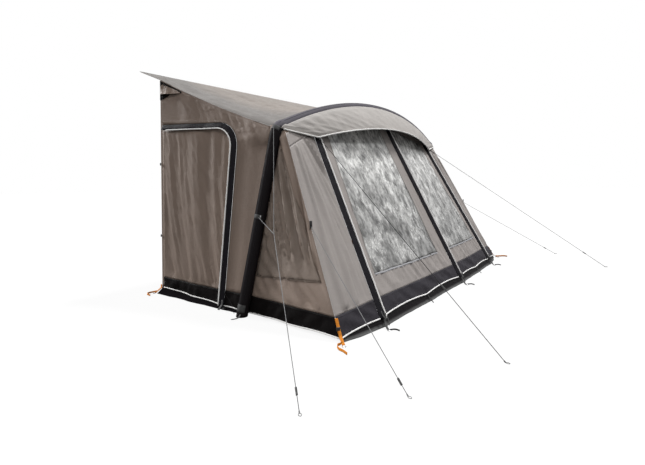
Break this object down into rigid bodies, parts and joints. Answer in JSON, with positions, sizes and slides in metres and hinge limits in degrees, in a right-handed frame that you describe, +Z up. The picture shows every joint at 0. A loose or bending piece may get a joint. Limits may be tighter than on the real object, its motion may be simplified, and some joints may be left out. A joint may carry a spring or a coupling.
{
  "type": "inflatable caravan porch awning",
  "caption": "Porch awning for a caravan, held up by a single inflatable arch, with zipped side doors, window panels, a canopy and guy lines.",
  "frame": {"origin": "on the ground, in the middle of the awning's footprint", "axes": "+Z up; X runs along the caravan; the front faces -Y and the caravan stands at +Y"},
  "size_m": [5.923, 4.1136, 2.443],
  "materials": {
    "side_cloth": "coated polyester, taupe",
    "front_cloth": "coated polyester, light taupe",
    "roof_cloth": "coated polyester, grey taupe",
    "canopy_cloth": "coated polyester, pale taupe",
    "band_cloth": "coated polyester, charcoal",
    "flap_cloth": "coated groundsheet cloth, black",
    "sleeve_cloth": "heavy woven sleeve, black",
    "window_film": "clear flexible film",
    "bladder_film": "clear plastic film",
    "zip_tape": "woven tape and rain flap",
    "zip_metal": "dark metal",
    "webbing": "woven webbing, orange",
    "steel": "bright wire",
    "plastic": "moulded",
    "beading": "welted cord, grey",
    "guy_cord": "braided cord"
  },
  "bodies": {
    "awning": {"roof": "roof_cloth", "rail_beading": "beading", "canopy": "canopy_cloth", "beam_sleeve": "sleeve_cloth", "air_tube": "bladder_film", "air_valve": "plastic", "side_wall_left": "side_cloth", "side_wing_left": "side_cloth", "vent_cover_left": "side_cloth", "side_band_left": "band_cloth", "corner_band_left": "band_cloth", "side_zip_left": "zip_tape", "mud_flap_left": "flap_cloth", "corner_strap_left": "webbing", "rear_strap_left": "webbing", "strap_ring_left": "steel", "corner_panel_left": "front_cloth", "side_wall_right": "side_cloth", "side_wing_right": "side_cloth", "vent_cover_right": "side_cloth", "side_band_right": "band_cloth", "corner_band_right": "band_cloth", "side_zip_right": "zip_tape", "mud_flap_right": "flap_cloth", "corner_strap_right": "webbing", "rear_strap_right": "webbing", "strap_ring_right": "steel", "corner_panel_right": "front_cloth", "front_zip_left": "zip_tape", "front_zip_middle": "zip_tape", "front_zip_right": "zip_tape", "front_header": "front_cloth", "mud_flap_front": "flap_cloth", "guy_line_left_beam": "guy_cord", "guy_line_left_ridge": "guy_cord", "guy_line_left_canopy": "guy_cord", "guy_line_right_canopy": "guy_cord", "guy_line_right_ridge": "guy_cord", "guy_branch_left_beam": "guy_cord"},
    "side_door_left": {"side_door_left": "side_cloth", "side_door_band_left": "band_cloth"},
    "side_door_right": {"side_door_right": "side_cloth", "side_door_band_right": "band_cloth"},
    "front_panel_left": {"front_panel_left": "front_cloth", "front_window_left": "window_film", "front_band_left": "band_cloth"},
    "front_panel_right": {"front_panel_right": "front_cloth", "front_window_right": "window_film", "front_band_right": "band_cloth"},
    "front_zip_slider_left": {"front_zip_slider_left": "zip_metal"},
    "front_zip_slider_middle": {"front_zip_slider_middle": "zip_metal"},
    "front_zip_slider_right": {"front_zip_slider_right": "zip_metal"},
    "side_zip_slider_left": {"side_zip_slider_left": "zip_metal"},
    "side_zip_slider_right": {"side_zip_slider_right": "zip_metal"},
    "guy_adjuster_left_beam": {"guy_adjuster_left_beam": "plastic"},
    "guy_adjuster_left_ridge": {"guy_adjuster_left_ridge": "plastic"},
    "guy_adjuster_left_canopy": {"guy_adjuster_left_canopy": "plastic"},
    "guy_adjuster_right_canopy": {"guy_adjuster_right_canopy": "plastic"},
    "guy_adjuster_right_ridge": {"guy_adjuster_right_ridge": "plastic"},
    "valve_cap": {"valve_cap": "plastic"}
  },
  "joints": [
    {"name": "side_door_left_swing", "type": "hinge", "parent": "awning", "child": "side_door_left", "pos_m": [-1.952, 1.124, 0.9], "axis": [0, 0, -1], "range_deg": [0, 100]},
    {"name": "side_door_right_swing", "type": "hinge", "parent": "awning", "child": "side_door_right", "pos_m": [1.952, 1.124, 0.9], "axis": [0, 0, 1], "range_deg": [0, 100]},
    {"name": "front_panel_left_drop", "type": "hinge", "parent": "awning", "child": "front_panel_left", "pos_m": [-0.6474, -1.3558, 0.064], "axis": [-0.9998, 0.0193, 0], "range_deg": [0, 50]},
    {"name": "front_panel_right_drop", "type": "hinge", "parent": "awning", "child": "front_panel_right", "pos_m": [0.912, -1.3558, 0.064], "axis": [-0.9996, -0.0272, 0], "range_deg": [0, 50]},
    {"name": "front_zip_left_slide", "type": "slide", "parent": "awning", "child": "front_zip_slider_left", "axis": [0.1184, 0.4604, 0.8798], "range_m": [0, 1.45]},
    {"name": "front_zip_middle_slide", "type": "slide", "parent": "awning", "child": "front_zip_slider_middle", "axis": [-0.0946, 0.4279, 0.8989], "range_m": [0, 1.45]},
    {"name": "front_zip_right_slide", "type": "slide", "parent": "awning", "child": "front_zip_slider_right", "axis": [-0.1184, 0.4604, 0.8798], "range_m": [0, 1.45]},
    {"name": "side_zip_left_slide", "type": "slide", "parent": "awning", "child": "side_zip_slider_left", "axis": [0.0994, -0.0199, 0.9948], "range_m": [0, 1.35]},
    {"name": "side_zip_right_slide", "type": "slide", "parent": "awning", "child": "side_zip_slider_right", "axis": [-0.0994, -0.0199, 0.9948], "range_m": [0, 1.35]},
    {"name": "guy_left_beam_tighten", "type": "slide", "parent": "awning", "child": "guy_adjuster_left_beam", "axis": [0.5398, 0.614, 0.5758], "range_m": [0, 0.25]},
    {"name": "guy_left_ridge_tighten", "type": "slide", "parent": "awning", "child": "guy_adjuster_left_ridge", "axis": [0.3966, 0.744, 0.5378], "range_m": [0, 0.25]},
    {"name": "guy_left_canopy_tighten", "type": "slide", "parent": "awning", "child": "guy_adjuster_left_canopy", "axis": [0.1552, 0.7328, 0.6625], "range_m": [0, 0.25]},
    {"name": "guy_right_canopy_tighten", "type": "slide", "parent": "awning", "child": "guy_adjuster_right_canopy", "axis": [-0.2818, 0.7624, 0.5825], "range_m": [0, 0.25]},
    {"name": "guy_right_ridge_tighten", "type": "slide", "parent": "awning", "child": "guy_adjuster_right_ridge", "axis": [-0.5781, 0.6537, 0.4883], "range_m": [0, 0.25]},
    {"name": "valve_cap_turn", "type": "hinge", "parent": "awning", "child": "valve_cap", "pos_m": [2.00259, -0.22447, 0.3], "axis": [0, 0.9919, 0.1272], "range_deg": [0, 360]}
  ]
}
